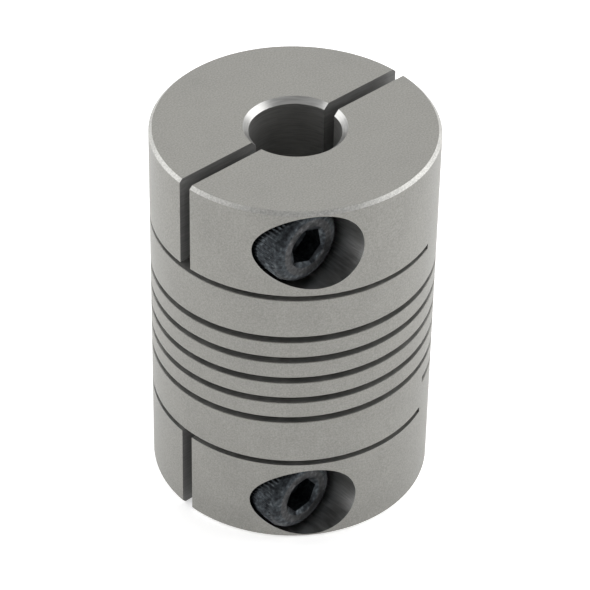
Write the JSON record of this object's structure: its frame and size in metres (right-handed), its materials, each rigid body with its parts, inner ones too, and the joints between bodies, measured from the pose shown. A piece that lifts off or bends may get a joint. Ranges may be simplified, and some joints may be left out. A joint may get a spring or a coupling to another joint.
{
  "type": "beam coupling",
  "caption": "Clamp-type beam coupling: a helically slit aluminium sleeve with a screw clamp at each end, joins two shafts and flexes between them.",
  "frame": {"origin": "centre of the sleeve on its axis, half way between the two end faces", "axes": "+Z along the shaft axis, the clamp slots lie in the XZ plane and open towards -X, the clamp screws are driven from -Y"},
  "size_m": [0.025, 0.025, 0.036],
  "materials": {
    "aluminium_body": "fine matte, clear anodised",
    "black_steel": "black oxide, lightly oiled"
  },
  "bodies": {
    "lower_ring": {"lower_ring": "aluminium_body"},
    "lower_front_jaw": {"lower_front_jaw": "aluminium_body"},
    "lower_rear_jaw": {"lower_rear_jaw": "aluminium_body"},
    "lower_clamp_screw": {"lower_clamp_screw": "black_steel"},
    "beam_turn_1": {"beam_turn_1": "aluminium_body"},
    "beam_turn_2": {"beam_turn_2": "aluminium_body"},
    "beam_turn_3": {"beam_turn_3": "aluminium_body"},
    "beam_turn_4": {"beam_turn_4": "aluminium_body"},
    "beam_turn_5": {"beam_turn_5": "aluminium_body"},
    "upper_ring": {"upper_ring": "aluminium_body"},
    "upper_front_jaw": {"upper_front_jaw": "aluminium_body"},
    "upper_rear_jaw": {"upper_rear_jaw": "aluminium_body"},
    "upper_clamp_screw": {"upper_clamp_screw": "black_steel"}
  },
  "joints": [
    {"name": "lower_tilt_x", "type": "hinge", "parent": "lower_ring", "child": "beam_turn_1", "pos_m": [0, 0, -0.0049], "axis": [1, 0, 0], "range_deg": [-1.5, 1.5], "stiffness_Nm_per_rad": 1.5},
    {"name": "lower_tilt_y", "type": "hinge", "parent": "beam_turn_1", "child": "beam_turn_2", "pos_m": [0, 0, -0.0028], "axis": [0, 1, 0], "range_deg": [-1.5, 1.5], "stiffness_Nm_per_rad": 1.5},
    {"name": "axial_stretch", "type": "slide", "parent": "beam_turn_2", "child": "beam_turn_3", "axis": [0, 0, 1], "range_m": [-0.00015, 0.00015], "stiffness_N_per_m": 40000},
    {"name": "twist", "type": "hinge", "parent": "beam_turn_3", "child": "beam_turn_4", "pos_m": [0, 0, 0.0012], "axis": [0, 0, 1], "range_deg": [-2, 2], "stiffness_Nm_per_rad": 15},
    {"name": "upper_tilt_y", "type": "hinge", "parent": "beam_turn_4", "child": "beam_turn_5", "pos_m": [0, 0, 0.0032], "axis": [0, 1, 0], "range_deg": [-1.5, 1.5], "stiffness_Nm_per_rad": 1.5},
    {"name": "upper_tilt_x", "type": "hinge", "parent": "beam_turn_5", "child": "upper_ring", "pos_m": [0, 0, 0.0052], "axis": [1, 0, 0], "range_deg": [-1.5, 1.5], "stiffness_Nm_per_rad": 1.5},
    {"name": "lower_front_jaw_close", "type": "hinge", "parent": "lower_ring", "child": "lower_front_jaw", "pos_m": [0.008, -0.0048, -0.01365], "axis": [0, 0, -1], "range_deg": [0, 0.85]},
    {"name": "lower_rear_jaw_close", "type": "hinge", "parent": "lower_ring", "child": "lower_rear_jaw", "pos_m": [0.008, 0.0048, -0.01365], "axis": [0, 0, 1], "range_deg": [0, 0.85]},
    {"name": "lower_screw_turn", "type": "hinge", "parent": "lower_front_jaw", "child": "lower_clamp_screw", "pos_m": [-0.007, 0, -0.01385], "axis": [0, 1, 0], "range_deg": [0, 226]},
    {"name": "upper_front_jaw_close", "type": "hinge", "parent": "upper_ring", "child": "upper_front_jaw", "pos_m": [0.008, -0.0048, 0.01365], "axis": [0, 0, -1], "range_deg": [0, 0.85]},
    {"name": "upper_rear_jaw_close", "type": "hinge", "parent": "upper_ring", "child": "upper_rear_jaw", "pos_m": [0.008, 0.0048, 0.01365], "axis": [0, 0, 1], "range_deg": [0, 0.85]},
    {"name": "upper_screw_turn", "type": "hinge", "parent": "upper_front_jaw", "child": "upper_clamp_screw", "pos_m": [-0.007, 0, 0.01385], "axis": [0, 1, 0], "range_deg": [0, 226]}
  ],
  "couplings": [
    {"joint": "lower_front_jaw_close", "follows": "lower_screw_turn", "ratio": 0.003714},
    {"joint": "lower_rear_jaw_close", "follows": "lower_screw_turn", "ratio": 0.003714},
    {"joint": "upper_front_jaw_close", "follows": "upper_screw_turn", "ratio": 0.003714},
    {"joint": "upper_rear_jaw_close", "follows": "upper_screw_turn", "ratio": 0.003714}
  ]
}
